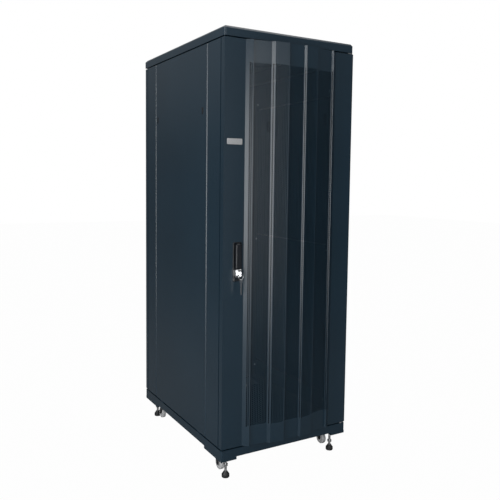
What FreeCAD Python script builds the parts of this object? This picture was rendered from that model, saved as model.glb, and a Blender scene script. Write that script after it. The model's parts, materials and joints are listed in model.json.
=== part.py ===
import FreeCAD, Part
import math
import os

# A free-standing 19-inch network cabinet: base frame on levelling feet and casters, welded
# frame with mounting rails, arched perforated front door with a swing handle, steel rear
# door, tilt-off side panels and a roof with two fans.
#
# Modelling frame, millimetres: X to the right, Y to the back, Z up from the floor.
# Y is measured from the flat front plane of the door stiles, so the rear plane is DEPTH.
# The files are written about ORIGIN, the middle of the footprint at floor level.

os.makedirs("parts", exist_ok=True)

# ---------------------------------------------------------------- driving dimensions
WIDTH = 600.0
DEPTH = 800.0
BODY_HEIGHT = 1630.0        # underside of the base frame to the top of the cover
FLOOR_GAP = 95.0            # floor to the underside of the base frame
SKIN = 1.5                  # doors, side panels and cover
FRAME_WALL = 2.0            # base frame, posts, rails and braces

# 19-inch mounting
UNIT = 44.45
UNIT_HOLES = (6.35, 22.225, 38.1)   # hole heights inside one unit
RAIL_OPENING = 450.0
RAIL_FLANGE = 25.0
RAIL_PAST_POST = 14.0       # rail return beyond the post, where the screws are
RAIL_HOLES_APART = 465.1
RAIL_HOLE = 9.5
RAIL_SETBACK = 52.0         # rail face behind the front plane
RAIL_SPAN = 640.0           # front rail face to rear rail face
RAIL_LIFT = 17.0            # rail end above the base frame
RAIL_END = 6.0              # plain rail beyond the first and last unit

# frame
BASE_HEIGHT = 33.0
BASE_RAIL = 60.0            # plan width of the front and rear base members
BASE_CORNER = 6.0
TRAY_DROP = 12.0            # corner trays hang this far below the base frame
TRAY_WIDTH = 68.0
TRAY_LENGTH = 149.0
TRAY_FLOOR = 3.0
POST_WIDTH = 34.0
POST_DEPTH = 40.0
POST_SETBACK = 32.0         # post face behind the front plane
POST_INSET = 16.0           # post side in from the cabinet side
TOP_FRAME_HEIGHT = 40.0
BRACE_HEIGHT = 40.0
BRACE_LEVELS = (0.045, 0.49, 0.945)     # brace centres along the rails
BRACE_CLEAR = 4.0           # brace side in from the post side
SCREW_RADIUS = 3.0
SCREW_HOLE = 3.3
SCREW_HEAD = 6.0
SCREW_HEAD_HEIGHT = 3.0
SCREW_LENGTH = 14.0
SCREW_EDGE = 7.0            # screw centre in from the rail's return edge

# floor and roof
FLOOR_START = 40.0
CABLE_SLOT_START = 600.0
CABLE_SLOT = 100.0
COVER_HEIGHT = 36.0
COVER_CORNER = 10.0
COVER_CHAMFER = 8.0
COVER_LIP = 40.0
ROOF_PLATE = (165.0, 50.0)      # half width and half depth
ROOF_CUTOUT = (150.0, 40.0)
ROOF_SLOT = (130.0, 12.0)
ROOF_PLATE_BACK = 120.0         # plate centre in from the rear
BRISTLE_GAP = 0.4

# doors
DOOR_GAP = 5.0              # door edge to base frame and to cover
DOOR_DEPTH = 25.0
DOOR_SIDE = 1.0             # door edge in from the cabinet side
DOOR_RETURN = 15.0
STILE = 90.0                # flat stile on each side of the arch
ARCH_RISE = 18.0            # outer slope: how far it stands out, and its plan width
ARCH_RUN = 24.0
STEP_RUN = 5.0
STEP_LEVEL = 10.0           # foot of the outer step
BAND_HALF = 99.0            # raised middle band
BAND_LEVEL = 32.0
BAND_STEP_RUN = 9.0
BAND_STEP_LEVEL = 20.0
CREST_HALF = 40.0           # crest beside the sunk centre strip
CREST_LEVEL = 40.0
CENTRE_HALF = 34.0
CENTRE_LEVEL = 31.0
MESH_EDGE = 10.0            # perforated zone starts inside the outer slope
MESH_BOTTOM = 73.0          # above the door's lower edge
MESH_TOP = 78.0             # below the door's upper edge
REAR_RECESS = 4.0
REAR_BORDER = 85.0
VENT_SLOTS = 8
VENT_PITCH = 15.0
VENT_HALF = 150.0
VENT_HEIGHT = 5.0
VENT_EDGE = 80.0
CHANNEL_END = 17.0
CHANNEL_OFFSET = 8.5        # stiffener web outside the door's middle field
HINGE_INSET = 12.0          # hinge axis in from the cabinet side
HINGE_PIN = 4.0
HINGE_PIN_LENGTH = 26.0
RUNNING = 0.05              # radial clearance of pins and shafts
HINGE_BLOCK = 24.0
DOOR_TOP_PLAY = 1.5

# front handle and lock, about the axis of the handle spindle
HANDLE_EDGE = 62.0          # spindle axis in from the cabinet side
HANDLE_HEIGHT = 915.0       # spindle axis above the floor
DISH_WIDTH = 38.0
DISH_TOP = 17.0
DISH_BOTTOM = 133.0
DISH_RIM = 3.0              # rim height and rim width
DISH_DEEP = 9.0
DISH_FLOOR = 4.0
LEVER_WIDTH = 22.0
LEVER_TOP = 11.0
LEVER_BOTTOM = 82.0
LEVER_THICK = 12.0
LEVER_CLEAR = 0.4
LEVER_PIN_UP = 2.0          # pop-out pin above the spindle axis
LUG_RADIUS = 3.5
LUG_HALF = 4.0
LUG_CLEAR = 0.4
SPINDLE = 6.0
LATCH_REACH = 32.0
LATCH_THICK = 3.0
LATCH_HALF = 9.0
KEEPER_THICK = 2.0
KEEPER_CLEAR = 0.3
LOCK_DROP = 101.0           # lock axis below the spindle axis
LOCK_HALF = 15.0
LOCK_FACE = 15.0
PLUG = 7.0
KEY_THICK = 2.0
KEY_BOW = 9.0
KEY_HOLE = 2.5
KEY_HOLE_EDGE = 5.0         # hole centre in from the bow's edge
HANGING_GAP = 0.3
KEY_REACH = 21.0            # key bow's far edge in front of the lock face
RING_RADIUS = 10.0
RING_WIRE = 0.8
SPARE_KEY_LENGTH = 60.0
KEY_BLADE = 3.5             # half height of the blade
KEY_CUTS = 5
KEY_CUT = (4.2, 1.5)        # pitch and depth of the bitting
KEY_SHANK = 22.0            # bow centre to the first cut
PLATE_SIZE = (64.0, 22.0, 1.2)
PLATE_DROP = 377.0          # plate centre below the door's upper edge
PLATE_EDGE = 46.0

# rear handle
REAR_HANDLE_HEIGHT = 880.0
REAR_ROSE = 17.0
REAR_WING = (34.0, 7.0, 18.0)   # half length, half width, stand-out

# side panels
PANEL_GAP = 5.0             # panel edge behind the door plane's back
PANEL_RETURN = 14.0
PANEL_EDGE = 1.0
BEAD_FROM_FRONT = 140.0
BEAD_FROM_REAR = 133.0
BEAD_HALF = 4.0
BEAD_DEPTH = 3.0
LATCH_FROM_FRONT = 180.0
LATCH_FROM_REAR = 155.0
LATCH_DROP = 251.0          # latch below the panel's upper edge
LATCH_SLOT = (6.5, 14.0)
LATCH_TRAVEL = 8.0

# feet and casters
FOOT_INSET = 44.0
FOOT_STEM = 5.0
FOOT_STEM_TOP = 102.0
FOOT_PAD = 15.5
FOOT_PAD_HEIGHT = 24.0
FOOT_BUSH = 10.0
FOOT_BUSH_BOTTOM = 79.0
LOCKNUT = 8.5
LOCKNUT_HEIGHT = 8.0
LOCKNUT_LEVELS = {"front_left": 50.0, "front_right": 40.0, "rear_left": 46.0, "rear_right": 48.0}
CASTER_INSET = (48.0, 118.0)
ANCHOR_HOLE = 5.5
ANCHOR_INSET = (17.0, 70.0)
CASTER_TRAIL = 20.0
CASTER_LIFT = 9.0           # wheel above the floor while the feet carry the load
WHEEL_RADIUS = 25.0
WHEEL_WIDTH = 18.0
AXLE = 3.0
CASTER_PLATE = (42.0, 50.0)
CASTER_PLATE_THICK = 3.0
RACE_RADIUS = 14.0
KINGPIN = 4.0
FORK_TOP = 4.0
FORK_PLATE = 16.0
FORK_LEG = 2.0
FORK_CLEAR = 1.5

# fans
FAN = 120.0
FAN_HEIGHT = 38.0
FAN_BORE = 57.0
FAN_HUB = 20.0
FAN_TIP = 55.0
FAN_BLADES = 7
FAN_OFFSET = 95.0
FAN_SHAFT = 2.0
GUARD_WIRE = 2.5

# ---------------------------------------------------------------- derived places
HALF = WIDTH / 2
BASE_TOP = FLOOR_GAP + BASE_HEIGHT
TOP = FLOOR_GAP + BODY_HEIGHT
COVER_BOTTOM = TOP - COVER_HEIGHT
ROOF_UNDER = TOP - SKIN
DOOR_BOTTOM = BASE_TOP + DOOR_GAP
DOOR_TOP = COVER_BOTTOM - DOOR_GAP
LATCH_HEIGHT = DOOR_TOP - LATCH_DROP
TOP_FRAME_BOTTOM = COVER_BOTTOM - TOP_FRAME_HEIGHT
RAIL_PLANE = RAIL_OPENING / 2 + RAIL_FLANGE
POST_OUT = HALF - POST_INSET
POST_IN = POST_OUT - POST_WIDTH
POST_BACK = POST_SETBACK + POST_DEPTH
RAIL_RETURN = POST_BACK + RAIL_PAST_POST - RAIL_SETBACK
RAIL_BOTTOM = BASE_TOP + RAIL_LIFT
UNITS = int((TOP_FRAME_BOTTOM - RAIL_BOTTOM - 2 * RAIL_END) / UNIT)
RAIL_TOP = RAIL_BOTTOM + 2 * RAIL_END + UNITS * UNIT
BRACES = [RAIL_BOTTOM + share * (RAIL_TOP - RAIL_BOTTOM) for share in BRACE_LEVELS]
DOOR_HALF = HALF - DOOR_SIDE
ARCH_HALF = HALF - STILE
HINGE_X = HALF - HINGE_INSET
HINGE_Y = DOOR_DEPTH / 2
HANDLE_X = -(HALF - HANDLE_EDGE)
REAR_REACH = REAR_WING[2]
ORIGIN = FreeCAD.Vector(0, (DEPTH + REAR_REACH - CREST_LEVEL) / 2, 0)
CORNERS = {"front_left": (-1, 1), "front_right": (1, 1), "rear_left": (-1, -1), "rear_right": (1, -1)}


# ---------------------------------------------------------------- helpers
def block(x0, x1, y0, y1, z0, z1):
    """Box between two opposite corners."""
    return Part.makeBox(x1 - x0, y1 - y0, z1 - z0, FreeCAD.Vector(x0, y0, z0))


def rod(radius, x, y, z, length, axis):
    """Cylinder from a point along +X, +Y or +Z."""
    direction = {"X": (1, 0, 0), "Y": (0, 1, 0), "Z": (0, 0, 1)}[axis]
    return Part.makeCylinder(radius, length, FreeCAD.Vector(x, y, z), FreeCAD.Vector(*direction))


def polygon(points):
    return Part.Face(Part.makePolygon([FreeCAD.Vector(*point) for point in points + points[:1]]))


def prism_z(points, z0, z1):
    """Outline in X, Y raised from z0 to z1."""
    return polygon([(x, y, z0) for x, y in points]).extrude(FreeCAD.Vector(0, 0, z1 - z0))


def prism_x(points, x0, x1):
    """Outline in Y, Z run from x0 to x1."""
    return polygon([(x0, y, z) for y, z in points]).extrude(FreeCAD.Vector(x1 - x0, 0, 0))


def beside(points, offset):
    """The line of points moved sideways: to its left for a positive offset."""
    normals = []
    for start, end in zip(points, points[1:]):
        dx, dy = end[0] - start[0], end[1] - start[1]
        length = math.hypot(dx, dy)
        normals.append((-dy / length, dx / length))
    moved = []
    for point, before, after in zip(points, normals[:1] + normals, normals + normals[-1:]):
        nx, ny = before[0] + after[0], before[1] + after[1]
        scale = 2 * offset / (nx * nx + ny * ny)
        moved.append((point[0] + nx * scale, point[1] + ny * scale))
    return moved


def bent_sheet(points, thickness, z0, z1):
    """Sheet that follows a line in X, Y, with its material to the left of the line."""
    return prism_z(points + beside(points, thickness)[::-1], z0, z1)


def fused(first, *others):
    return first.fuse(list(others)).removeSplitter()


def group(solids):
    return Part.makeCompound(solids)


def other_side(shape):
    """Mirror image on the other side of the cabinet's middle plane."""
    return shape.mirror(FreeCAD.Vector(0, 0, 0), FreeCAD.Vector(1, 0, 0))


def other_end(shape):
    """Mirror image at the other end, front to rear."""
    return shape.mirror(FreeCAD.Vector(0, DEPTH / 2, 0), FreeCAD.Vector(0, 1, 0))


def at_corner(shape, corner):
    """A front-left shape placed at a corner of the cabinet."""
    side, end = CORNERS[corner]
    shape = other_side(shape) if side > 0 else shape
    return other_end(shape) if end < 0 else shape


def at_corners(shape):
    return [at_corner(shape, corner) for corner in CORNERS]


def upright_edges(shape, x_far, y_near):
    """Vertical edges beyond a given |x| and in front of a given y."""
    picked = []
    for edge in shape.Edges:
        low, high = edge.BoundBox.ZMin, edge.BoundBox.ZMax
        centre = edge.CenterOfMass
        if high - low > edge.Length * 0.999 and abs(centre.x) > x_far and centre.y < y_near:
            picked.append(edge)
    return picked


def save(name, shape):
    """Write one node about the cabinet's origin."""
    placed = shape.copy()
    placed.translate(-ORIGIN)
    placed.exportStep("parts/" + name + ".step")
    print("%-24s %3d solids  %s" % (name, len(placed.Solids), "valid" if placed.isValid() else "BROKEN"))


# ---------------------------------------------------------------- base, feet and casters
def base_frame():
    """Front and rear members over the full width with side members between them, open below."""
    front = block(-HALF, HALF, 0, BASE_RAIL, FLOOR_GAP, BASE_TOP)
    front = front.makeFillet(BASE_CORNER, upright_edges(front, HALF - 1, 1))
    front = front.cut(block(-HALF + FRAME_WALL, HALF - FRAME_WALL, FRAME_WALL, BASE_RAIL - FRAME_WALL,
                            FLOOR_GAP, BASE_TOP - FRAME_WALL))
    inner = RAIL_PLANE - 10
    side = block(-HALF, -inner, BASE_RAIL, DEPTH - BASE_RAIL, FLOOR_GAP, BASE_TOP)
    side = side.cut(block(-HALF + FRAME_WALL, -inner - FRAME_WALL, BASE_RAIL + FRAME_WALL,
                          DEPTH - BASE_RAIL - FRAME_WALL, FLOOR_GAP, BASE_TOP - FRAME_WALL))
    return group([front, other_end(front), side, other_side(side)])


def corner_trays():
    """Pressed trays under the corners that carry a foot and a caster each."""
    x0, y0 = -HALF + 1, 1
    low = FLOOR_GAP - TRAY_DROP
    tray = block(x0, x0 + TRAY_WIDTH, y0, y0 + TRAY_LENGTH, low, FLOOR_GAP)
    tray = tray.cut(block(x0 + FRAME_WALL, x0 + TRAY_WIDTH - FRAME_WALL, y0 + FRAME_WALL,
                          y0 + TRAY_LENGTH - FRAME_WALL, low + TRAY_FLOOR, FLOOR_GAP))
    foot_hole = rod(FOOT_BUSH, -HALF + FOOT_INSET, FOOT_INSET, low, TRAY_DROP, "Z")
    anchor_hole = rod(ANCHOR_HOLE, -HALF + ANCHOR_INSET[0], ANCHOR_INSET[1], low, TRAY_DROP, "Z")
    return group(at_corners(tray.cut(foot_hole).cut(anchor_hole)))


def foot_bushes():
    """Threaded weld bushes through the tray floors."""
    x, y = -HALF + FOOT_INSET, FOOT_INSET
    height = FLOOR_GAP - FOOT_BUSH_BOTTOM
    bush = rod(FOOT_BUSH, x, y, FOOT_BUSH_BOTTOM, height, "Z")
    return group(at_corners(bush.cut(rod(FOOT_STEM + RUNNING, x, y, FOOT_BUSH_BOTTOM, height, "Z"))))


def foot_pad(corner):
    """Cone-shaped pad with a blind seat for the stem."""
    x, y = -HALF + FOOT_INSET, FOOT_INSET
    foot, neck = FOOT_PAD_HEIGHT / 2, FOOT_STEM + 2.5
    outline = [(0, 0), (FOOT_PAD - 1.5, 0), (FOOT_PAD, 2), (FOOT_PAD, foot), (neck, FOOT_PAD_HEIGHT),
               (0, FOOT_PAD_HEIGHT)]
    pad = polygon([(r, 0, z) for r, z in outline]).revolve(FreeCAD.Vector(0, 0, 0),
                                                           FreeCAD.Vector(0, 0, 1), 360)
    pad.translate(FreeCAD.Vector(x, y, 0))
    return at_corner(pad.cut(rod(FOOT_STEM, x, y, foot, FOOT_PAD_HEIGHT, "Z")), corner)


def foot_stem(corner):
    """Threaded stem with its locknut."""
    x, y = -HALF + FOOT_INSET, FOOT_INSET
    low = FOOT_PAD_HEIGHT / 2
    stem = rod(FOOT_STEM, x, y, low, FOOT_STEM_TOP - low, "Z")
    stem = stem.makeChamfer(1.0, [edge for edge in stem.Edges if edge.BoundBox.ZMin > FOOT_STEM_TOP - 1])
    level = LOCKNUT_LEVELS[corner] - LOCKNUT_HEIGHT / 2
    corners = [(x + LOCKNUT / math.cos(math.pi / 6) * math.cos(math.radians(60 * k)),
                y + LOCKNUT / math.cos(math.pi / 6) * math.sin(math.radians(60 * k))) for k in range(6)]
    nut = prism_z(corners, level, level + LOCKNUT_HEIGHT)
    nut = nut.cut(rod(FOOT_STEM, x, y, level, LOCKNUT_HEIGHT, "Z"))
    return group([at_corner(stem, corner), at_corner(nut, corner)])


PLATE_LOW = FLOOR_GAP - TRAY_DROP - CASTER_PLATE_THICK
RACE_LOW = PLATE_LOW - 3.8
FORK_HIGH = RACE_LOW - 0.2
AXLE_Z = CASTER_LIFT + WHEEL_RADIUS


def caster_plates():
    """Caster top plates with swivel race and riveted kingpin."""
    x, y = -HALF + CASTER_INSET[0], CASTER_INSET[1]
    half_x, half_y = CASTER_PLATE[0] / 2, CASTER_PLATE[1] / 2
    plate = block(x - half_x, x + half_x, y - half_y, y + half_y, PLATE_LOW, PLATE_LOW + CASTER_PLATE_THICK)
    race = rod(RACE_RADIUS, x, y, RACE_LOW, PLATE_LOW - RACE_LOW, "Z")
    low = FORK_HIGH - FORK_TOP - 0.2 - 3.0
    pin = rod(KINGPIN, x, y, low, PLATE_LOW - low, "Z")
    head = rod(KINGPIN + 3, x, y, low, 3.0, "Z")
    return group(at_corners(fused(plate, race, pin, head)))


def caster_fork(corner):
    """Pressed fork that swivels on the kingpin, with the axle through its legs."""
    x, y = -HALF + CASTER_INSET[0], CASTER_INSET[1]
    top = rod(FORK_PLATE, x, y, FORK_HIGH - FORK_TOP, FORK_TOP, "Z")
    inner = WHEEL_WIDTH / 2 + FORK_CLEAR
    outer = inner + FORK_LEG
    axle_y = y - CASTER_TRAIL
    outline = [(y + 10, FORK_HIGH), (y - 12, FORK_HIGH), (axle_y - 9, AXLE_Z + 4), (axle_y - 6, AXLE_Z - 7),
               (axle_y + 5, AXLE_Z - 7), (y + 4, FORK_HIGH - 16), (y + 10, FORK_HIGH - FORK_TOP)]
    legs = [prism_x(outline, x + side * inner, x + side * outer) for side in (-1, 1)]
    axle = rod(AXLE, x - outer, axle_y, AXLE_Z, 2 * outer, "X")
    heads = [rod(AXLE + 2, x - outer - 2, axle_y, AXLE_Z, 2, "X"), rod(AXLE + 2, x + outer, axle_y, AXLE_Z, 2, "X")]
    fork = fused(top, *legs, axle, *heads)
    bore = rod(KINGPIN + RUNNING, x, y, FORK_HIGH - FORK_TOP, FORK_TOP, "Z")
    return at_corner(fork.cut(bore), corner)


def caster_wheel(corner):
    """Wheel with rounded tread and dished faces."""
    x, y = -HALF + CASTER_INSET[0], CASTER_INSET[1] - CASTER_TRAIL
    half = WHEEL_WIDTH / 2
    wheel = rod(WHEEL_RADIUS, x - half, y, AXLE_Z, WHEEL_WIDTH, "X")
    rims = [edge for edge in wheel.Edges if edge.BoundBox.XMax - edge.BoundBox.XMin < 0.1]
    wheel = wheel.makeFillet(4.0, rims)
    dish = 3.0
    for start in (x - half, x + half - dish):
        ring = rod(WHEEL_RADIUS - 6, start, y, AXLE_Z, dish, "X").cut(rod(AXLE + 4, start, y, AXLE_Z, dish, "X"))
        wheel = wheel.cut(ring)
    return at_corner(wheel.cut(rod(AXLE + RUNNING, x - half, y, AXLE_Z, WHEEL_WIDTH, "X")), corner)


# ---------------------------------------------------------------- frame
def corner_posts():
    """C-section posts, open towards the middle."""
    line = [(-POST_IN, POST_SETBACK), (-POST_OUT, POST_SETBACK), (-POST_OUT, POST_BACK), (-POST_IN, POST_BACK)]
    return group(at_corners(bent_sheet(line, -FRAME_WALL, BASE_TOP, TOP_FRAME_BOTTOM)))


def top_frame():
    """Four box-section members on the posts."""
    wall = FRAME_WALL
    front = block(-POST_OUT, POST_OUT, POST_SETBACK, POST_BACK, TOP_FRAME_BOTTOM, COVER_BOTTOM)
    front = front.cut(block(-POST_OUT, POST_OUT, POST_SETBACK + wall, POST_BACK - wall,
                            TOP_FRAME_BOTTOM + wall, COVER_BOTTOM - wall))
    side = block(-POST_OUT, -RAIL_PLANE, POST_BACK, DEPTH - POST_BACK, TOP_FRAME_BOTTOM, COVER_BOTTOM)
    side = side.cut(block(-POST_OUT + wall, -RAIL_PLANE - wall, POST_BACK, DEPTH - POST_BACK,
                          TOP_FRAME_BOTTOM + wall, COVER_BOTTOM - wall))
    return group([front, other_end(front), side, other_side(side)])


def screw_places():
    """Y and Z of every rail screw on one side."""
    front = RAIL_SETBACK + RAIL_RETURN - SCREW_EDGE
    rear = RAIL_SETBACK + RAIL_SPAN - RAIL_RETURN + SCREW_EDGE
    return [(y, z) for z in BRACES for y in (front, rear)]


def screw_holes():
    return [rod(SCREW_HOLE, -RAIL_PLANE - FRAME_WALL, y, z, 2 * FRAME_WALL, "X") for y, z in screw_places()]


def side_braces():
    """Box-section braces between front and rear posts at three levels."""
    wall = FRAME_WALL
    solids = []
    for level in BRACES:
        low, high = level - BRACE_HEIGHT / 2, level + BRACE_HEIGHT / 2
        outer = POST_OUT - BRACE_CLEAR
        brace = block(-outer, -RAIL_PLANE, POST_BACK, DEPTH - POST_BACK, low, high)
        brace = brace.cut(block(-outer + wall, -RAIL_PLANE - wall, POST_BACK, DEPTH - POST_BACK,
                                low + wall, high - wall))
        brace = brace.cut(screw_holes())
        solids += [brace, other_side(brace)]
    return group(solids)


def mounting_rails():
    """Angle rails with square holes at every unit."""
    inner = RAIL_OPENING / 2
    line = [(-inner, RAIL_SETBACK), (-RAIL_PLANE, RAIL_SETBACK), (-RAIL_PLANE, RAIL_SETBACK + RAIL_RETURN)]
    rail = bent_sheet(line, -FRAME_WALL, RAIL_BOTTOM, RAIL_TOP)
    half = RAIL_HOLE / 2
    x = -RAIL_HOLES_APART / 2
    holes = []
    for unit in range(UNITS):
        for height in UNIT_HOLES:
            z = RAIL_BOTTOM + RAIL_END + unit * UNIT + height
            holes.append(block(x - half, x + half, RAIL_SETBACK, RAIL_SETBACK + FRAME_WALL, z - half, z + half))
    rail = rail.cut(holes)
    rear = rail.mirror(FreeCAD.Vector(0, RAIL_SETBACK + RAIL_SPAN / 2, 0), FreeCAD.Vector(0, 1, 0))
    front, rear = rail.cut(screw_holes()), rear.cut(screw_holes())
    return group([front, other_side(front), rear, other_side(rear)])


def rail_screws():
    """Pan-head screws that hold the rails to the braces."""
    inside = -RAIL_PLANE + FRAME_WALL
    solids = []
    for y, z in screw_places():
        head = rod(SCREW_HEAD, inside, y, z, SCREW_HEAD_HEIGHT, "X")
        head = head.makeFillet(1.5, [edge for edge in head.Edges if edge.BoundBox.XMin > inside + 1])
        screw = fused(head, rod(SCREW_RADIUS, inside - SCREW_LENGTH, y, z, SCREW_LENGTH, "X"))
        solids += [screw, other_side(screw)]
    return group(solids)


def floor_panels():
    """Two plates on the base frame with the cable slot between them."""
    half = RAIL_PLANE - 2
    slot_end = CABLE_SLOT_START + CABLE_SLOT
    front = block(-half, half, FLOOR_START, CABLE_SLOT_START, BASE_TOP, BASE_TOP + SKIN)
    rear = block(-half, half, slot_end, DEPTH - FLOOR_START, BASE_TOP, BASE_TOP + SKIN)
    return group([front, rear])


# ---------------------------------------------------------------- roof
def fan_centres():
    return [(-FAN_OFFSET, DEPTH / 2), (FAN_OFFSET, DEPTH / 2)]


def cover_shell(inset, low, high, chamfer):
    """Cover outline shrunk by an inset, with its upper edges bevelled."""
    shape = block(-HALF + inset, HALF - inset, inset, DEPTH - inset, low, high)
    shape = shape.makeFillet(COVER_CORNER - inset, upright_edges(shape, 0, DEPTH))
    top_edges = [edge for edge in shape.Edges if edge.BoundBox.ZMin > high - 0.1]
    return shape.makeChamfer(chamfer, top_edges)


def top_cover():
    """Bevelled roof pan with a seating lip, fan slots and a cable cut-out."""
    cover = cover_shell(0, COVER_BOTTOM, TOP, COVER_CHAMFER)
    cover = cover.cut(cover_shell(SKIN, COVER_BOTTOM + SKIN, ROOF_UNDER, COVER_CHAMFER - SKIN))
    cuts = [block(-HALF + COVER_LIP, HALF - COVER_LIP, COVER_LIP, DEPTH - COVER_LIP, COVER_BOTTOM,
                  COVER_BOTTOM + SKIN)]
    slot_half, slot_pitch = 2.5, 10.0
    for x, y in fan_centres():
        for step in range(-5, 6):
            across = step * slot_pitch
            along = math.sqrt((FAN_BORE - 3) ** 2 - across ** 2)
            cuts.append(block(x + across - slot_half, x + across + slot_half, y - along, y + along,
                              ROOF_UNDER, TOP))
    half_x, half_y = ROOF_CUTOUT
    centre = DEPTH - ROOF_PLATE_BACK
    cuts.append(block(-half_x, half_x, centre - half_y, centre + half_y, ROOF_UNDER, TOP))
    return cover.cut(cuts)


def roof_cable_plate():
    """Plate under the roof cut-out with a slot for cables."""
    centre = DEPTH - ROOF_PLATE_BACK
    half_x, half_y = ROOF_PLATE
    plate = block(-half_x, half_x, centre - half_y, centre + half_y, ROOF_UNDER - SKIN, ROOF_UNDER)
    half_x, half_y = ROOF_SLOT
    return plate.cut(block(-half_x, half_x, centre - half_y, centre + half_y, ROOF_UNDER - SKIN, ROOF_UNDER))


def roof_brush_strips():
    """Two rows of bristles that meet in the middle of the slot."""
    centre = DEPTH - ROOF_PLATE_BACK
    half_x, half_y = ROOF_SLOT
    low, high = ROOF_UNDER - SKIN, ROOF_UNDER - 0.3
    front = block(-half_x, half_x, centre - half_y, centre - BRISTLE_GAP / 2, low, high)
    rear = block(-half_x, half_x, centre + BRISTLE_GAP / 2, centre + half_y, low, high)
    return group([front, rear])


def fan_housings():
    """Square fan frames with a motor on four struts and a fixed shaft."""
    solids = []
    low = ROOF_UNDER - FAN_HEIGHT
    for x, y in fan_centres():
        half = FAN / 2
        frame = block(x - half, x + half, y - half, y + half, low, ROOF_UNDER)
        frame = frame.makeFillet(8.0, [edge for edge in frame.Edges if edge.BoundBox.ZLength > FAN_HEIGHT - 1])
        frame = frame.cut(rod(FAN_BORE, x, y, low, FAN_HEIGHT, "Z"))
        struts = [block(x - FAN_BORE - 1, x + FAN_BORE + 1, y - 2, y + 2, low, low + 3),
                  block(x - 2, x + 2, y - FAN_BORE - 1, y + FAN_BORE + 1, low, low + 3)]
        motor = rod(FAN_HUB - 1, x, y, low, 8, "Z")
        shaft = rod(FAN_SHAFT, x, y, low + 8, 20, "Z")
        solids.append(fused(frame, *struts, motor, shaft))
    return group(solids)


def fan_impeller(centre):
    """Hub with pitched blades, free on the motor shaft."""
    x, y = centre
    low = ROOF_UNDER - FAN_HEIGHT + 8.5
    hub_height = 24.0
    hub = rod(FAN_HUB, x, y, low, hub_height, "Z")
    blades = []
    for index in range(FAN_BLADES):
        blade = block(FAN_HUB - 2, FAN_TIP, -11, 11, -1.1, 1.1)
        blade.rotate(FreeCAD.Vector(0, 0, 0), FreeCAD.Vector(1, 0, 0), 38)
        blade.rotate(FreeCAD.Vector(0, 0, 0), FreeCAD.Vector(0, 0, 1), index * 360 / FAN_BLADES)
        blade.translate(FreeCAD.Vector(x, y, low + hub_height / 2))
        blades.append(blade)
    tip = rod(FAN_TIP, x, y, low, hub_height, "Z")
    impeller = fused(hub, *blades).common(tip)
    return impeller.cut(rod(FAN_SHAFT + RUNNING, x, y, low, 20, "Z"))


def fan_guards():
    """Ring guards screwed under the fan frames."""
    solids = []
    high = ROOF_UNDER - FAN_HEIGHT
    low = high - GUARD_WIRE
    for x, y in fan_centres():
        rings = []
        for radius in (20.0, 32.0, 44.0, 56.0):
            ring = rod(radius + GUARD_WIRE / 2, x, y, low, GUARD_WIRE, "Z")
            rings.append(ring.cut(rod(radius - GUARD_WIRE / 2, x, y, low, GUARD_WIRE, "Z")))
        bars = []
        for angle in (45, 135):
            bar = block(-FAN / 2 - 12, FAN / 2 + 12, -1.5, 1.5, low, high)
            bar.rotate(FreeCAD.Vector(0, 0, 0), FreeCAD.Vector(0, 0, 1), angle)
            bar.translate(FreeCAD.Vector(x, y, 0))
            bars.append(bar)
        solids.append(fused(rings[0], *rings[1:], *bars))
    return group(solids)


# ---------------------------------------------------------------- doors
def door_line(face):
    """Outer line of a door pan: return, side, face from left to right, side, return."""
    left = [(-DOOR_HALF + DOOR_RETURN, DOOR_DEPTH), (-DOOR_HALF, DOOR_DEPTH), (-DOOR_HALF, 0)]
    right = [(-x, y) for x, y in left[::-1]]
    return left + face + right


def arch_face():
    """Stepped arch between the flat stiles, symmetrical about the middle."""
    half = [(ARCH_HALF, 0), (ARCH_HALF - ARCH_RUN, ARCH_RISE), (ARCH_HALF - ARCH_RUN - STEP_RUN, STEP_LEVEL),
            (BAND_HALF + BAND_STEP_RUN, BAND_STEP_LEVEL), (BAND_HALF, BAND_LEVEL),
            (CREST_HALF, CREST_LEVEL), (CENTRE_HALF, CENTRE_LEVEL)]
    left = [(-x, -out) for x, out in half]
    return left + [(-x, y) for x, y in left[::-1]]


def door_pan(face):
    """Bent door sheet with closed top and bottom ends and bores for the hinge pins."""
    line = door_line(face)
    sheet = bent_sheet(line, SKIN, DOOR_BOTTOM, DOOR_TOP)
    ends = [prism_z(line, DOOR_BOTTOM, DOOR_BOTTOM + SKIN), prism_z(line, DOOR_TOP - SKIN, DOOR_TOP)]
    bore = rod(HINGE_PIN + 0.5, HINGE_X, HINGE_Y, DOOR_BOTTOM, DOOR_TOP - DOOR_BOTTOM, "Z")
    return fused(sheet, *ends).cut(bore)


def mesh_window():
    half = ARCH_HALF - MESH_EDGE
    return block(-half, half, -CREST_LEVEL - 1, DOOR_DEPTH / 2, DOOR_BOTTOM + MESH_BOTTOM, DOOR_TOP - MESH_TOP)


def dish_cutout(margin):
    """Opening in the stile for the handle dish, grown by a margin."""
    half = DISH_WIDTH / 2 - DISH_RIM + margin
    return block(HANDLE_X - half, HANDLE_X + half, -1, DISH_DEEP,
                 HANDLE_HEIGHT - DISH_BOTTOM + DISH_RIM - margin, HANDLE_HEIGHT + DISH_TOP - DISH_RIM + margin)


def front_door_shell():
    return door_pan(arch_face()).cut(mesh_window()).cut(dish_cutout(0))


def front_door_mesh():
    """Perforated field, as a plain bent sheet in the window."""
    sheet = bent_sheet(door_line(arch_face()), SKIN, DOOR_BOTTOM, DOOR_TOP)
    return sheet.common(mesh_window())


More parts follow.
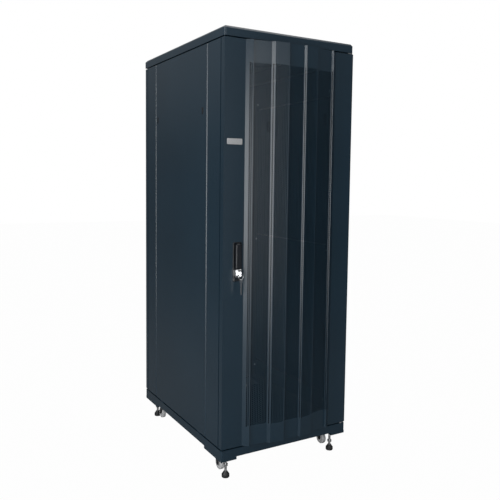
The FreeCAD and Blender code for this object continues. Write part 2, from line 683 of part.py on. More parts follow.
def rear_door_shell():
    """Steel door with a sunk middle field and ventilation slots."""
    edge = DOOR_HALF - REAR_BORDER
    face = [(-edge, 0), (-edge + REAR_RECESS, REAR_RECESS), (edge - REAR_RECESS, REAR_RECESS), (edge, 0)]
    slots = []
    for index in range(VENT_SLOTS):
        for z in (DOOR_BOTTOM + VENT_EDGE + index * VENT_PITCH, DOOR_TOP - VENT_EDGE - index * VENT_PITCH):
            slots.append(block(-VENT_HALF, VENT_HALF, REAR_RECESS, REAR_RECESS + SKIN,
                               z - VENT_HEIGHT / 2, z + VENT_HEIGHT / 2))
    spindle_hole = rod(SPINDLE + 0.3, HANDLE_X, 0, REAR_HANDLE_HEIGHT, DOOR_DEPTH, "Y")
    return other_end(door_pan(face).cut(slots).cut(spindle_hole))


def door_channels(field_half, height):
    """Angle stiffeners behind both stiles; the handle spindle passes through the left one."""
    web = field_half + CHANNEL_OFFSET
    line = [(-web, SKIN), (-web, DOOR_DEPTH - SKIN), (-DOOR_HALF + DOOR_RETURN + 1, DOOR_DEPTH - SKIN)]
    channel = bent_sheet(line, SKIN, DOOR_BOTTOM + CHANNEL_END, DOOR_TOP - CHANNEL_END)
    pierced = channel.cut(rod(SPINDLE + 0.3, HANDLE_X, 0, height, DOOR_DEPTH, "Y"))
    return [pierced, other_side(channel)]


def front_door_channels():
    return group(door_channels(ARCH_HALF, HANDLE_HEIGHT))


def rear_door_channels():
    return group([other_end(solid) for solid in door_channels(DOOR_HALF - REAR_BORDER, REAR_HANDLE_HEIGHT)])


def door_bushes():
    """Bored hinge blocks in the door's top and bottom corners."""
    side = DOOR_HALF - SKIN
    solids = []
    for low in (DOOR_BOTTOM + SKIN, DOOR_TOP - SKIN - HINGE_BLOCK):
        blk = block(HINGE_X - 8, side, HINGE_Y - 8, HINGE_Y + 8, low, low + HINGE_BLOCK)
        solids.append(blk.cut(rod(HINGE_PIN + RUNNING, HINGE_X, HINGE_Y, low, HINGE_BLOCK, "Z")))
    return solids


def door_hinge_pins():
    """Lower pins on the base frame and upper pins on brackets from the top frame."""
    collar = rod(HINGE_PIN + 5, HINGE_X, HINGE_Y, BASE_TOP, DOOR_GAP - 1, "Z")
    lower = fused(collar, rod(HINGE_PIN, HINGE_X, HINGE_Y, BASE_TOP, DOOR_GAP + HINGE_PIN_LENGTH - SKIN, "Z"))
    low = DOOR_TOP + DOOR_TOP_PLAY
    bracket = block(HINGE_X - 12, HALF - 2, HINGE_Y - 9, POST_SETBACK, low, low + 3)
    pin_low = DOOR_TOP - HINGE_PIN_LENGTH + SKIN
    upper = fused(bracket, rod(HINGE_PIN, HINGE_X, HINGE_Y, pin_low, low - pin_low + 1, "Z"))
    return group([lower, upper, other_end(lower), other_end(upper)])


# ---------------------------------------------------------------- front handle, lock and keys
def front_handle_dish():
    """Moulded dish set in the stile, with a raised rim."""
    half = DISH_WIDTH / 2
    low, high = HANDLE_HEIGHT - DISH_BOTTOM, HANDLE_HEIGHT + DISH_TOP
    rim = block(HANDLE_X - half, HANDLE_X + half, -DISH_RIM, 0, low, high)
    rim = rim.makeFillet(6.0, [edge for edge in rim.Edges if edge.BoundBox.YLength > DISH_RIM - 0.1])
    rim = rim.makeChamfer(1.0, [edge for edge in rim.Edges if edge.BoundBox.YMax < -DISH_RIM + 0.1])
    body = fused(rim, dish_cutout(0))
    pocket_half = half - DISH_RIM - 1.5
    pocket = block(HANDLE_X - pocket_half, HANDLE_X + pocket_half, -DISH_RIM, DISH_DEEP - DISH_FLOOR,
                   HANDLE_HEIGHT - LEVER_BOTTOM - 2, high - DISH_RIM - 1.5)
    pocket = pocket.makeFillet(4.0, [edge for edge in pocket.Edges if edge.BoundBox.YLength > DISH_RIM])
    hole = rod(SPINDLE + RUNNING, HANDLE_X, 0, HANDLE_HEIGHT, DISH_DEEP, "Y")
    return body.cut(pocket).cut(hole)


LEVER_BACK = -DISH_RIM - LEVER_CLEAR
PIN_Z = HANDLE_HEIGHT + LEVER_PIN_UP
PIN_Y = LEVER_BACK - LUG_RADIUS - 0.2
SPINDLE_FACE = -DISH_RIM + 1.0


def front_handle_spindle():
    """Spindle through the door with a lug for the lever's pin."""
    end = KEEPER_FACE + KEEPER_CLEAR + LATCH_THICK + 1
    shaft = rod(SPINDLE, HANDLE_X, SPINDLE_FACE, HANDLE_HEIGHT, end - SPINDLE_FACE, "Y")
    lug = block(HANDLE_X - LUG_HALF, HANDLE_X + LUG_HALF, PIN_Y, SPINDLE_FACE + 1,
                PIN_Z - LUG_RADIUS, PIN_Z + LUG_RADIUS)
    eye = rod(LUG_RADIUS, HANDLE_X - LUG_HALF, PIN_Y, PIN_Z, 2 * LUG_HALF, "X")
    bore = rod(1.5 + RUNNING, HANDLE_X - LUG_HALF, PIN_Y, PIN_Z, 2 * LUG_HALF, "X")
    return fused(shaft, lug, eye).cut(bore)


KEEPER_FACE = POST_SETBACK + FRAME_WALL + KEEPER_THICK


def latch_cam(height):
    """Cam on the spindle's inner end, behind the keeper while the door is shut."""
    y = KEEPER_FACE + KEEPER_CLEAR
    cam = block(HANDLE_X - LATCH_REACH, HANDLE_X, y, y + LATCH_THICK, height - LATCH_HALF, height + LATCH_HALF)
    cam = fused(cam, rod(LATCH_HALF + 1, HANDLE_X, y, height, LATCH_THICK, "Y"))
    return cam.cut(rod(SPINDLE, HANDLE_X, y, height, LATCH_THICK, "Y"))


def latch_keepers():
    """Wear plates behind the front walls of the latch-side posts."""
    solids = []
    y = POST_SETBACK + FRAME_WALL
    for height in (HANDLE_HEIGHT, REAR_HANDLE_HEIGHT):
        plate = block(-POST_IN - 22, -POST_IN - 2, y, y + KEEPER_THICK, height - 25, height + 25)
        solids.append(plate)
    return group([solids[0], other_end(solids[1])])


def front_handle_lever():
    """Swing lever that pops out about a pin in the spindle's lug."""
    half = LEVER_WIDTH / 2
    low, high = HANDLE_HEIGHT - LEVER_BOTTOM, HANDLE_HEIGHT + LEVER_TOP
    front = LEVER_BACK - LEVER_THICK
    lever = block(HANDLE_X - half, HANDLE_X + half, front, LEVER_BACK, low, high)
    corners = [edge for edge in lever.Edges if edge.BoundBox.YLength > LEVER_THICK - 1]
    lever = lever.makeFillet(7.0, [edge for edge in corners if edge.CenterOfMass.z > HANDLE_HEIGHT])
    lever = lever.makeChamfer(2.5, [edge for edge in lever.Edges if edge.BoundBox.YMax < front + 0.1])
    relief = prism_x([(LEVER_BACK, high - 4), (LEVER_BACK, high), (LEVER_BACK - 4, high)],
                     HANDLE_X - half, HANDLE_X + half)
    slot = block(HANDLE_X - LUG_HALF - LUG_CLEAR, HANDLE_X + LUG_HALF + LUG_CLEAR, PIN_Y - LUG_RADIUS - 1,
                 LEVER_BACK, PIN_Z - 12, high)
    pin = rod(1.5, HANDLE_X - half + 2, PIN_Y, PIN_Z, LEVER_WIDTH - 4, "X")
    return fused(lever.cut(relief).cut(slot), pin)


LOCK_Z = HANDLE_HEIGHT - LOCK_DROP


def front_lock_body():
    """Plated lock block on the lower part of the dish."""
    low, high = LOCK_Z - LOCK_HALF, LOCK_Z + LOCK_HALF
    body = block(HANDLE_X - LOCK_HALF + 1, HANDLE_X + LOCK_HALF - 1, -LOCK_FACE, -DISH_RIM, low, high)
    body = body.makeFillet(5.0, [edge for edge in body.Edges if edge.BoundBox.YLength > LOCK_FACE - DISH_RIM - 1])
    body = body.makeChamfer(1.5, [edge for edge in body.Edges if edge.BoundBox.YMax < -LOCK_FACE + 0.1])
    return body.cut(rod(PLUG + RUNNING, HANDLE_X, -LOCK_FACE, LOCK_Z, LOCK_FACE - DISH_RIM - 2, "Y"))


def front_lock_plug():
    """Turning plug with a keyway."""
    plug = rod(PLUG, HANDLE_X, -LOCK_FACE - 0.6, LOCK_Z, LOCK_FACE - DISH_RIM - 1.7, "Y")
    keyway = block(HANDLE_X - KEY_THICK / 2, HANDLE_X + KEY_THICK / 2, -LOCK_FACE - 1, -LOCK_FACE + 5,
                   LOCK_Z - 4, LOCK_Z + 4)
    return plug.cut(keyway)


BOW_Y = -LOCK_FACE - KEY_REACH + KEY_BOW
BOW_HOLE = KEY_BOW - KEY_HOLE_EDGE
BOW_HOLE_Y = BOW_Y - BOW_HOLE
WIRE_HANG = KEY_HOLE - HANGING_GAP - RING_WIRE
RING_Z = LOCK_Z - WIRE_HANG - RING_RADIUS


def key_shape(blade_tip, thick):
    """Flat key in the Y, Z plane at the origin: bow at zero, blade towards +Y."""
    bow = rod(KEY_BOW, -thick / 2, 0, 0, thick, "X")
    blade = block(-thick / 2, thick / 2, 0, blade_tip, -KEY_BLADE, KEY_BLADE)
    key = fused(bow, blade)
    pitch, depth = KEY_CUT
    for index in range(KEY_CUTS):
        start = KEY_SHANK + index * pitch
        notch = [(start, KEY_BLADE), (start + pitch / 2, KEY_BLADE - depth), (start + pitch, KEY_BLADE)]
        key = key.cut(prism_x(notch, -thick / 2, thick / 2))
    return key.cut(rod(KEY_HOLE, -thick / 2, -BOW_HOLE, 0, thick, "X"))


def front_key():
    """Key in the lock, its bow upright."""
    key = key_shape(-LOCK_FACE + 4.5 - BOW_Y, KEY_THICK)
    key.translate(FreeCAD.Vector(HANDLE_X, BOW_Y, LOCK_Z))
    return key


def key_ring():
    """Wire ring through the hole in the key's bow."""
    ring = Part.makeTorus(RING_RADIUS, RING_WIRE, FreeCAD.Vector(0, 0, 0), FreeCAD.Vector(0, 1, 0))
    ring.translate(FreeCAD.Vector(HANDLE_X, BOW_HOLE_Y, RING_Z))
    return ring


def spare_key():
    """Second key hanging from the bottom of the ring."""
    key = key_shape(SPARE_KEY_LENGTH - KEY_BOW, KEY_THICK)
    key.rotate(FreeCAD.Vector(0, 0, 0), FreeCAD.Vector(1, 0, 0), -90)
    key.translate(FreeCAD.Vector(HANDLE_X, BOW_HOLE_Y, RING_Z - RING_RADIUS - WIRE_HANG - BOW_HOLE))
    return key


def front_name_plate():
    """Blank plate on the left stile."""
    width, height, thick = PLATE_SIZE
    x, z = -HALF + PLATE_EDGE, DOOR_TOP - PLATE_DROP
    plate = block(x - width / 2, x + width / 2, -thick, 0, z - height / 2, z + height / 2)
    return plate.makeFillet(2.5, [edge for edge in plate.Edges if edge.BoundBox.YLength > thick - 0.1])


# ---------------------------------------------------------------- rear handle
def rear_latch_handle():
    """Wing handle with its spindle."""
    long_half, wide_half, out = REAR_WING
    rose = rod(REAR_ROSE, HANDLE_X, -4, REAR_HANDLE_HEIGHT, 3.7, "Y")
    wing = block(HANDLE_X - wide_half, HANDLE_X + wide_half, -out, -4,
                 REAR_HANDLE_HEIGHT - long_half, REAR_HANDLE_HEIGHT + long_half)
    wing = wing.makeFillet(5.0, [edge for edge in wing.Edges if edge.BoundBox.YLength > out - 5])
    end = KEEPER_FACE + KEEPER_CLEAR + LATCH_THICK + 1
    shaft = rod(SPINDLE, HANDLE_X, -5, REAR_HANDLE_HEIGHT, end + 5, "Y")
    return other_end(fused(rose, wing, shaft))


# ---------------------------------------------------------------- side panels
PANEL_FRONT = DOOR_DEPTH + PANEL_GAP
PANEL_OUT = HALF - PANEL_EDGE
PANEL_LATCHES = {"front": LATCH_FROM_FRONT, "rear": DEPTH - LATCH_FROM_REAR}


def bead(y):
    """Pressed groove across the panel line, from front to back."""
    floor = PANEL_OUT - BEAD_DEPTH
    return [(-PANEL_OUT, y - BEAD_HALF), (-floor, y - 1), (-floor, y + 1), (-PANEL_OUT, y + BEAD_HALF)]


def side_panel():
    """Left panel: bent sheet with two full-height beads, end returns, lugs and latch slots."""
    inner = PANEL_OUT - PANEL_RETURN
    back = DEPTH - PANEL_FRONT
    line = [(-inner, PANEL_FRONT), (-PANEL_OUT, PANEL_FRONT)] + bead(BEAD_FROM_FRONT)
    line += bead(DEPTH - BEAD_FROM_REAR) + [(-PANEL_OUT, back), (-inner, back)]
    sheet = bent_sheet(line, -SKIN, DOOR_BOTTOM, DOOR_TOP)
    ends = [prism_z(line, DOOR_BOTTOM, DOOR_BOTTOM + SKIN), prism_z(line, DOOR_TOP - SKIN, DOOR_TOP)]
    lugs = [block(-PANEL_OUT + 1, -inner - 4, y - 15, y + 15, BASE_TOP, DOOR_BOTTOM)
            for y in (DEPTH / 4, DEPTH * 3 / 4)]
    half_y, half_z = LATCH_SLOT
    slots = [block(-PANEL_OUT, -PANEL_OUT + SKIN, y - half_y, y + half_y, LATCH_HEIGHT - half_z, LATCH_HEIGHT + half_z)
             for y in PANEL_LATCHES.values()]
    return fused(sheet, *ends, *lugs).cut(slots)


def side_latch(end):
    """Left slide latch: plate behind the panel with a grip in the slot."""
    y = PANEL_LATCHES[end]
    half_y, half_z = LATCH_SLOT
    back = -PANEL_OUT + SKIN + 0.3
    plate = block(back, back + 2, y - half_y - 8, y + half_y + 8, LATCH_HEIGHT - half_z - 12, LATCH_HEIGHT + half_z + 14)
    high = LATCH_HEIGHT + half_z - 1
    grip = block(-PANEL_OUT - 0.6, back, y - half_y + 0.5, y + half_y - 0.5, high - 2 * half_z + LATCH_TRAVEL + 3, high)
    lip = block(-PANEL_OUT - 0.7, -PANEL_OUT + 0.4, y - half_y + 2, y + half_y - 2, high - 14, high - 5)
    return fused(plate, grip.cut(lip))


# ---------------------------------------------------------------- the nodes
def main():
    save("base_frame", base_frame())
    save("corner_trays", corner_trays())
    save("foot_bushes", foot_bushes())
    save("caster_plates", caster_plates())
    for corner in CORNERS:
        save("foot_pad_" + corner, foot_pad(corner))
        save("foot_stem_" + corner, foot_stem(corner))
        save("caster_fork_" + corner, caster_fork(corner))
        save("caster_wheel_" + corner, caster_wheel(corner))
    save("corner_posts", corner_posts())
    save("top_frame", top_frame())
    save("side_braces", side_braces())
    save("mounting_rails", mounting_rails())
    save("rail_screws", rail_screws())
    save("floor_panels", floor_panels())
    save("top_cover", top_cover())
    save("roof_cable_plate", roof_cable_plate())
    save("roof_brush_strips", roof_brush_strips())
    save("fan_housings", fan_housings())
    save("fan_guards", fan_guards())
    save("fan_impeller_left", fan_impeller(fan_centres()[0]))
    save("fan_impeller_right", fan_impeller(fan_centres()[1]))
    save("door_hinge_pins", door_hinge_pins())
    save("latch_keepers", latch_keepers())
    save("front_door_shell", front_door_shell())
    save("front_door_mesh", front_door_mesh())
    save("front_door_channels", front_door_channels())
    save("front_door_bushes", group(door_bushes()))
    save("front_handle_dish", front_handle_dish())
    save("front_handle_spindle", front_handle_spindle())
    save("front_latch_cam", latch_cam(HANDLE_HEIGHT))
    save("front_handle_lever", front_handle_lever())
    save("front_lock_body", front_lock_body())
    save("front_lock_plug", front_lock_plug())
    save("front_key", front_key())
    save("key_ring", key_ring())
    save("spare_key", spare_key())
    save("front_name_plate", front_name_plate())
    save("rear_door_shell", rear_door_shell())
    save("rear_door_channels", rear_door_channels())
    save("rear_door_bushes", group([other_end(bush) for bush in door_bushes()]))
    save("rear_latch_handle", rear_latch_handle())
    save("rear_latch_cam", other_end(latch_cam(REAR_HANDLE_HEIGHT)))
    panel = side_panel()
    save("side_panel_left", panel)
    save("side_panel_right", other_side(panel))
    for end in PANEL_LATCHES:
        latch = side_latch(end)
        save("side_latch_left_" + end, latch)
        save("side_latch_right_" + end, other_side(latch))


main()
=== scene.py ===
import json
import math

import bpy
from mathutils import Matrix, Vector

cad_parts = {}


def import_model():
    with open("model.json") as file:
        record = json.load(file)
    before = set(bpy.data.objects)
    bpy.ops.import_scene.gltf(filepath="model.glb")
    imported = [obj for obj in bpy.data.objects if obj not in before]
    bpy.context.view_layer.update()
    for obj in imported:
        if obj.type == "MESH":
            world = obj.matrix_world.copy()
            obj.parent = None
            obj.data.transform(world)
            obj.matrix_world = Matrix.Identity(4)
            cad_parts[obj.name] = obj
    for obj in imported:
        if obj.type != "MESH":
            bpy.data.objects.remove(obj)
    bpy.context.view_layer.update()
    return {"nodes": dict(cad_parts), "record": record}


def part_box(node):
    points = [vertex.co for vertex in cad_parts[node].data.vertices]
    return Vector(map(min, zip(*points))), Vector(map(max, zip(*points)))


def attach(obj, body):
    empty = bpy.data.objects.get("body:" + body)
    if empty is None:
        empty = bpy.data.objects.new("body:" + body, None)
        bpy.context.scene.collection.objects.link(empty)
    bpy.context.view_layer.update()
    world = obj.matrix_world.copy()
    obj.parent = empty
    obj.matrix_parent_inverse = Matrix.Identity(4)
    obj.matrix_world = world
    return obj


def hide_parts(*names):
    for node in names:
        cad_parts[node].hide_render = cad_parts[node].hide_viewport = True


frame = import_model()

nodes = frame["nodes"]

# camera, metres and degrees
CAMERA_AZIMUTH, CAMERA_DOWN, CAMERA_ROLL = 29.91, 4.53, 0.63
CAMERA_PLACE = (-1.3464, -2.3648, 1.1616)
SENSOR_WIDTH, FOCAL_LENGTH = 36.0, 43.5
CAMERA_SHIFT = (0.0121, -0.0425)

# powder coat, dark and light ends of its clouding
COAT_DARK = (0.0058, 0.0190, 0.0320)
COAT_LIGHT = (0.0072, 0.0225, 0.0375)

# front door sheet, metres
SHEET = 0.0015
ARCH_OUT = 0.040            # stiles behind the front of the arch
MESH_PITCH = 0.008
HOLE_RADIUS = 0.40          # of the pitch
ROW_MARGIN = 0.006          # least plain sheet above and below the rows, together
COLUMN_MARGIN = 0.0014      # least plain sheet beside the columns of a flat, together
HEX_SIDES = 6
# faces between the corners of a cell, 0 to 3, and the hexagon in it, 4 to 9
CELL_FACES = ((0, 1, 9, 8), (1, 4, 9), (1, 2, 4), (2, 5, 4), (2, 3, 6, 5), (3, 7, 6), (3, 0, 7), (0, 8, 7))

# studio
FLOOR_HALF = 14.0
FLOOR_DROP = 0.0005
FLOOR_SHADE = 0.30
FLOOR_WHITE = 0.985         # how far the floor is plain white to the camera
ROOM_COLOR = (0.93, 0.97, 1.0, 1)
ROOM_BY_HEIGHT = (0.02, 0.22, 0.16, 0.50)       # direction Z from, to; strength from, to
ROOM_BY_SIDE = (-0.52, -0.30, 0.72, 0.55)       # direction X from, to; factor from, to
LIGHTS = (                  # name, place, target, size, power in watts
    ("left_light", (-3.1, -1.25, 1.25), (0, -0.4, 1.1), (0.7, 2.4), 46.0),
    ("front_left_light", (-2.5, -2.9, 1.05), (0, -0.3, 1.0), (2.0, 1.8), 62.0),
    ("front_light", (0.45, -3.8, 1.3), (0, -0.3, 1.0), (0.6, 2.4), 20.0),
    ("top_light", (0.0, 0.0, 3.6), (0, 0, 0), (3.0, 3.0), 34.0),
)


# ---------------------------------------------------------------- camera
def camera():
    azimuth, down, roll = (math.radians(angle) for angle in (CAMERA_AZIMUTH, CAMERA_DOWN, CAMERA_ROLL))
    look = Vector((math.sin(azimuth) * math.cos(down), math.cos(azimuth) * math.cos(down), -math.sin(down)))
    right = Vector((math.cos(azimuth), -math.sin(azimuth), 0))
    up = right.cross(look)
    x_axis = right * math.cos(roll) + up * math.sin(roll)
    y_axis = up * math.cos(roll) - right * math.sin(roll)
    data = bpy.data.cameras.new("camera")
    data.sensor_width, data.lens = SENSOR_WIDTH, FOCAL_LENGTH
    data.shift_x, data.shift_y = CAMERA_SHIFT
    cam = bpy.data.objects.new("camera", data)
    turn = Matrix((x_axis, y_axis, -look)).transposed().to_4x4()
    cam.matrix_world = Matrix.Translation(CAMERA_PLACE) @ turn
    bpy.context.scene.collection.objects.link(cam)
    bpy.context.scene.camera = cam


# ---------------------------------------------------------------- materials
class Nodes:
    """A material with a Principled shader and short ways to add nodes."""

    def __init__(self, name, metallic=0.0, specular=0.5, coat=0.0, coat_roughness=0.1):
        self.material = bpy.data.materials.new(name)
        self.material.use_nodes = True
        self.tree = self.material.node_tree
        self.shader = self.tree.nodes["Principled BSDF"]
        self.shader.inputs["Metallic"].default_value = metallic
        self.shader.inputs["Specular IOR Level"].default_value = specular
        self.shader.inputs["Coat Weight"].default_value = coat
        self.shader.inputs["Coat Roughness"].default_value = coat_roughness
        self.place = self.tree.nodes.new("ShaderNodeTexCoord").outputs["Object"]

    def link(self, source, target):
        self.tree.links.new(source, target)

    def noise(self, scale, detail=3.0, stretch=(1, 1, 1)):
        mapping = self.tree.nodes.new("ShaderNodeMapping")
        mapping.inputs["Scale"].default_value = stretch
        self.link(self.place, mapping.inputs["Vector"])
        node = self.tree.nodes.new("ShaderNodeTexNoise")
        node.inputs["Scale"].default_value = scale
        node.inputs["Detail"].default_value = detail
        self.link(mapping.outputs["Vector"], node.inputs["Vector"])
        return node.outputs["Fac"]

    def spread(self, value, low, high):
        node = self.tree.nodes.new("ShaderNodeMapRange")
        node.inputs["From Min"].default_value = 0.25
        node.inputs["From Max"].default_value = 0.75
        node.inputs["To Min"].default_value = low
        node.inputs["To Max"].default_value = high
        self.link(value, node.inputs["Value"])
        return node.outputs["Result"]

    def color(self, value, dark, light):
        ramp = self.tree.nodes.new("ShaderNodeValToRGB")
        ramp.color_ramp.elements[0].position = 0.3
        ramp.color_ramp.elements[1].position = 0.7
        ramp.color_ramp.elements[0].color = (*dark, 1)
        ramp.color_ramp.elements[1].color = (*light, 1)
        self.link(value, ramp.inputs["Fac"])
        self.link(ramp.outputs["Color"], self.shader.inputs["Base Color"])

    def roughness(self, value, low, high):
        self.link(self.spread(value, low, high), self.shader.inputs["Roughness"])

    def bump(self, value, distance, strength=1.0):
        node = self.tree.nodes.new("ShaderNodeBump")
        node.inputs["Distance"].default_value = distance
        node.inputs["Strength"].default_value = strength
        self.link(value, node.inputs["Height"])
        self.link(node.outputs["Normal"], self.shader.inputs["Normal"])


def powder_coat(name, dark, light, low, high, specular=0.5):
    nodes_ = Nodes(name, specular=specular)
    cloud = nodes_.noise(3.0, 4.0)
    nodes_.color(cloud, dark, light)
    nodes_.roughness(nodes_.noise(900.0, 2.0), low, high)
    nodes_.bump(nodes_.noise(700.0, 2.0), 0.00008, 0.5)
    return nodes_.material


def metal(name, dark, light, low, high, stretch=(1, 1, 1), scale=300.0):
    nodes_ = Nodes(name, metallic=1.0)
    grain = nodes_.noise(scale, 4.0, stretch)
    nodes_.color(grain, dark, light)
    nodes_.roughness(grain, low, high)
    nodes_.bump(grain, 0.00003, 0.5)
    return nodes_.material


def plastic(name, dark, light, low, high, bump=0.00005):
    nodes_ = Nodes(name, specular=0.5)
    nodes_.color(nodes_.noise(60.0, 4.0), dark, light)
    grain = nodes_.noise(1500.0, 3.0)
    nodes_.roughness(grain, low, high)
    nodes_.bump(grain, bump, 0.6)
    return nodes_.material


def grey(level):
    return (level, level * 1.01, level * 1.02)


def make_materials():
    return {
        "powder_coat": powder_coat("powder_coat", COAT_DARK, COAT_LIGHT, 0.25, 0.33),
        "door_mesh": powder_coat("door_mesh", COAT_DARK, COAT_LIGHT, 0.28, 0.36),
        "rail_coat": powder_coat("rail_coat", (0.011, 0.012, 0.014), (0.014, 0.015, 0.017), 0.35, 0.45),
        "fork_coat": powder_coat("fork_coat", (0.012, 0.013, 0.015), (0.016, 0.017, 0.019), 0.25, 0.35),
        "zinc_steel": metal("zinc_steel", (0.46, 0.47, 0.48), (0.60, 0.60, 0.60), 0.24, 0.38),
        "chrome_plate": metal(
            "chrome_plate", (0.70, 0.71, 0.72), (0.78, 0.78, 0.79), 0.07, 0.14, scale=120.0),
        "plate_silver": metal(
            "plate_silver", (0.60, 0.61, 0.62), (0.72, 0.72, 0.73), 0.26, 0.36, (1, 1, 14), 260.0),
        "handle_plastic": plastic("handle_plastic", (0.008, 0.010, 0.013), (0.012, 0.014, 0.018), 0.14, 0.22),
        "fan_plastic": plastic("fan_plastic", (0.010, 0.010, 0.011), (0.014, 0.014, 0.015), 0.40, 0.52),
        "foot_plastic": plastic("foot_plastic", (0.010, 0.011, 0.012), (0.016, 0.017, 0.018), 0.38, 0.50),
        "wheel_grey": plastic("wheel_grey", grey(0.40), grey(0.47), 0.38, 0.50),
        "bristle": plastic("bristle", (0.008, 0.008, 0.008), (0.02, 0.02, 0.02), 0.6, 0.8, 0.0004),
    }


def dress(materials):
    slots = {part["node"]: part["material_slot"] for part in frame["record"]["subparts"]}
    for name, obj in nodes.items():
        material = materials[slots[name]]
        obj.data.materials.clear()
        obj.data.materials.append(material)


# ---------------------------------------------------------------- pieces
def piece(name, verts, faces, material, body):
    mesh = bpy.data.meshes.new(name)
    mesh.from_pydata(verts, [], faces)
    mesh.materials.append(material)
    obj = bpy.data.objects.new(name, mesh)
    bpy.context.scene.collection.objects.link(obj)
    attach(obj, body)
    return obj


def arch_line():
    """Outer line of the perforated field, left half mirrored to the right; distance out from the stiles."""
    steps = [(-0.200, 0.0075), (-0.186, 0.018), (-0.181, 0.010), (-0.108, 0.020), (-0.099, 0.032),
             (-0.040, 0.040), (-0.034, 0.031)]
    steps += [(-x, out) for x, out in steps[::-1]]
    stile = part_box("front_door_shell")[0][1] + ARCH_OUT
    return [(x, stile - out) for x, out in steps]


def set_back(points, distance):
    """The line moved inwards with mitred corners."""
    normals = []
    for start, end in zip(points, points[1:]):
        dx, dy = end[0] - start[0], end[1] - start[1]
        length = math.hypot(dx, dy)
        normals.append((-dy / length, dx / length))
    moved = []
    for point, before, after in zip(points, normals[:1] + normals, normals + normals[-1:]):
        nx, ny = before[0] + after[0], before[1] + after[1]
        scale = 2 * distance / (nx * nx + ny * ny)
        moved.append((point[0] + nx * scale, point[1] + ny * scale))
    return moved


def perforated_field(materials):
    """Bent sheet with rows of hexagonal holes, laid out on each flat of the arch."""
    low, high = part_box("front_door_mesh")
    bottom, top = low[2], high[2]
    pitch, column = MESH_PITCH, MESH_PITCH * math.sqrt(3) / 2
    radius = HOLE_RADIUS * pitch
    rows = int((top - bottom - ROW_MARGIN) / pitch)
    margin = (top - bottom - rows * pitch) / 2
    front, back = arch_line(), set_back(arch_line(), SHEET)
    verts, faces = [], []

    def add(points, flip):
        start = len(verts)
        verts.extend(points)
        order = list(range(start, start + len(points)))
        faces.append(order[::-1] if flip else order)

    for p0, p1, q0, q1 in zip(front, front[1:], back, back[1:]):
        width = math.hypot(p1[0] - p0[0], p1[1] - p0[1])
        count = int((width - COLUMN_MARGIN) / column)
        edge = (width - count * column) / 2

        def at(s, z, side):
            a, b = (p0, p1) if side else (q0, q1)
            t = s / width
            return (a[0] + (b[0] - a[0]) * t, a[1] + (b[1] - a[1]) * t, z)

        def hexagon(s, z, side):
            angles = [math.radians(360 / HEX_SIDES * i) for i in range(HEX_SIDES)]
            return [at(s + radius * math.cos(angle), z + radius * math.sin(angle), side) for angle in angles]

        for side in (True, False):
            flip = not side
            for s0, s1 in ((0, edge), (width - edge, width)) if count else ((0, width),):
                add([at(s0, bottom, side), at(s1, bottom, side), at(s1, top, side), at(s0, top, side)], flip)
            for k in range(count):
                s0 = edge + k * column
                s1 = s0 + column
                mid = (s0 + s1) / 2
                shift = pitch / 2 if k % 2 else 0.0
                n = rows - 1 if k % 2 else rows
                first = bottom + margin + shift
                last = first + n * pitch
                for z0, z1 in ((bottom, first), (last, top)):
                    add([at(s0, z0, side), at(s1, z0, side), at(s1, z1, side), at(s0, z1, side)], flip)
                for row in range(n):
                    z0 = first + row * pitch
                    z1 = z0 + pitch
                    zc = z0 + pitch / 2
                    c = [at(s0, z0, side), at(s1, z0, side), at(s1, z1, side), at(s0, z1, side)]
                    h = hexagon(mid, zc, side)
                    start = len(verts)
                    verts.extend(c + h)
                    for face in CELL_FACES:
                        order = [start + i for i in face]
                        faces.append(order[::-1] if flip else order)
                    if not side:
                        continue
                    h_back = hexagon(mid, zc, False)
                    start_back = len(verts)
                    verts.extend(h_back)
                    for i in range(HEX_SIDES):
                        j = (i + 1) % HEX_SIDES
                        faces.append([start + 4 + i, start + 4 + j, start_back + j, start_back + i])
    field = piece("door_perforated_field", verts, faces, materials["door_mesh"], "front_door")
    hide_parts("front_door_mesh")


# ---------------------------------------------------------------- studio
def surface_material(name, shade, rough):
    nodes_ = Nodes(name, specular=0.2)
    nodes_.color(nodes_.noise(2.0), (shade * 0.99,) * 3, (shade,) * 3)
    nodes_.roughness(nodes_.noise(40.0), rough, rough + 0.05)
    return nodes_.material


def floor():
    corners = ((-1, -1), (1, -1), (1, 1), (-1, 1))
    verts = [(x * FLOOR_HALF, y * FLOOR_HALF, -FLOOR_DROP) for x, y in corners]
    mesh = bpy.data.meshes.new("floor")
    mesh.from_pydata(verts, [], [(0, 1, 2, 3)])
    material = surface_material("floor_white", FLOOR_SHADE, 0.6)
    tree = material.node_tree
    shader = tree.nodes["Principled BSDF"]
    out = tree.nodes["Material Output"]
    emit = tree.nodes.new("ShaderNodeEmission")
    emit.inputs["Color"].default_value = (1, 1, 1, 1)
    emit.inputs["Strength"].default_value = 1.0
    path = tree.nodes.new("ShaderNodeLightPath")
    mix = tree.nodes.new("ShaderNodeMixShader")
    scale = tree.nodes.new("ShaderNodeMath")
    scale.operation = "MULTIPLY"
    scale.inputs[1].default_value = FLOOR_WHITE
    tree.links.new(path.outputs["Is Camera Ray"], scale.inputs[0])
    tree.links.new(scale.outputs["Value"], mix.inputs["Fac"])
    tree.links.new(shader.outputs["BSDF"], mix.inputs[1])
    tree.links.new(emit.outputs["Emission"], mix.inputs[2])
    tree.links.new(mix.outputs["Shader"], out.inputs["Surface"])
    mesh.materials.append(material)
    obj = bpy.data.objects.new("floor", mesh)
    bpy.context.scene.collection.objects.link(obj)


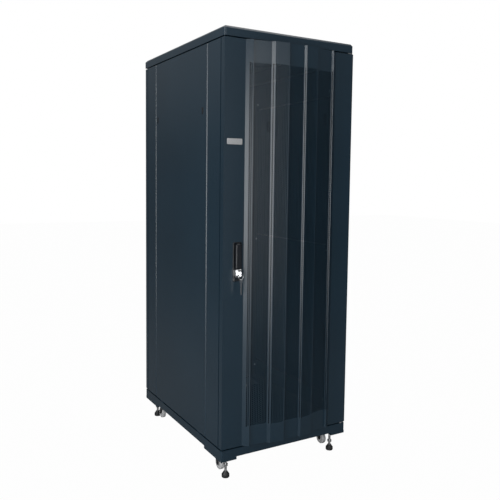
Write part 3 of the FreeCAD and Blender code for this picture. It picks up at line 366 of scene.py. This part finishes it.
def world():
    """White to the camera; a soft room to everything else, brighter above and to the left."""
    scene_world = bpy.data.worlds.new("studio")
    bpy.context.scene.world = scene_world
    scene_world.use_nodes = True
    tree = scene_world.node_tree

    def mapped(source, *limits):
        node = tree.nodes.new("ShaderNodeMapRange")
        node.interpolation_type = "SMOOTHSTEP"
        for socket, value in zip(("From Min", "From Max", "To Min", "To Max"), limits):
            node.inputs[socket].default_value = value
        tree.links.new(source, node.inputs["Value"])
        return node.outputs["Result"]

    split = tree.nodes.new("ShaderNodeSeparateXYZ")
    tree.links.new(tree.nodes.new("ShaderNodeTexCoord").outputs["Generated"], split.inputs["Vector"])
    strength = tree.nodes.new("ShaderNodeMath")
    strength.operation = "MULTIPLY"
    tree.links.new(mapped(split.outputs["Z"], *ROOM_BY_HEIGHT), strength.inputs[0])
    tree.links.new(mapped(split.outputs["X"], *ROOM_BY_SIDE), strength.inputs[1])
    light = tree.nodes["Background"]
    light.inputs["Color"].default_value = ROOM_COLOR
    tree.links.new(strength.outputs["Value"], light.inputs["Strength"])
    white = tree.nodes.new("ShaderNodeBackground")
    white.inputs["Color"].default_value = (1, 1, 1, 1)
    path = tree.nodes.new("ShaderNodeLightPath")
    mix = tree.nodes.new("ShaderNodeMixShader")
    tree.links.new(path.outputs["Is Camera Ray"], mix.inputs["Fac"])
    tree.links.new(light.outputs["Background"], mix.inputs[1])
    tree.links.new(white.outputs["Background"], mix.inputs[2])
    tree.links.new(mix.outputs["Shader"], tree.nodes["World Output"].inputs["Surface"])


def softbox(name, place, target, size, power):
    data = bpy.data.lights.new(name, "AREA")
    data.shape = "RECTANGLE"
    data.size, data.size_y = size
    data.energy = power
    lamp = bpy.data.objects.new(name, data)
    lamp.location = place
    lamp.rotation_euler = (Vector(target) - Vector(place)).to_track_quat("-Z", "Y").to_euler()
    bpy.context.scene.collection.objects.link(lamp)


def lights():
    for name, place, target, size, power in LIGHTS:
        softbox(name, place, target, size, power)


camera()
materials = make_materials()
dress(materials)
perforated_field(materials)
floor()
world()
lights()

bpy.context.scene.view_settings.view_transform = "Standard"
